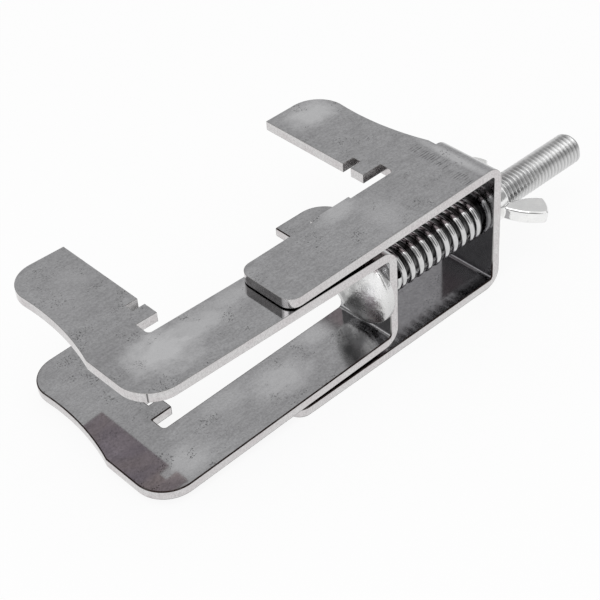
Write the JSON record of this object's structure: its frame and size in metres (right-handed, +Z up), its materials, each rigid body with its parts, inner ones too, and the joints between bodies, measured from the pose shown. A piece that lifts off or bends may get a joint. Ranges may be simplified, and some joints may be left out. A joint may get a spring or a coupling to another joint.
{
  "type": "stage clamp",
  "caption": "Screw-operated sheet metal clamp: a U-shaped bracket with a moving jaw slides inside one with a fixed jaw, on a bolt with a spring and wing nut.",
  "frame": {"origin": "on the underside of the outer bracket, below the fixed jaw's gripping edge in x and below the bolt's axis in y", "axes": "+X along the bolt from its head towards its free end, +Y from the stem towards the jaws' tips, +Z up"},
  "size_m": [0.1713, 0.071, 0.0425],
  "materials": {
    "rolled_sheet": "bright cold rolled",
    "zinc_bolt": "zinc plated",
    "spring_wire": "bright drawn wire",
    "zinc_nut": "zinc plated"
  },
  "bodies": {
    "outer": {"outer_bracket": "rolled_sheet"},
    "inner": {"inner_bracket": "rolled_sheet", "carriage_bolt": "zinc_bolt", "spring": "spring_wire"},
    "nut": {"wing_nut": "zinc_nut"}
  },
  "joints": [
    {"name": "nut_spin", "type": "hinge", "parent": "outer", "child": "nut", "pos_m": [0.0294, 0, 0.02125], "axis": [-1, 0, 0], "range_deg": [-7225, 2545]},
    {"name": "clamp_slide", "type": "slide", "parent": "outer", "child": "inner", "axis": [1, 0, 0], "range_m": [-0.03, 0.0105], "deforming": ["spring"]}
  ],
  "couplings": [
    {"joint": "nut_spin", "follows": "clamp_slide", "rad_per_m": 4188.8}
  ]
}
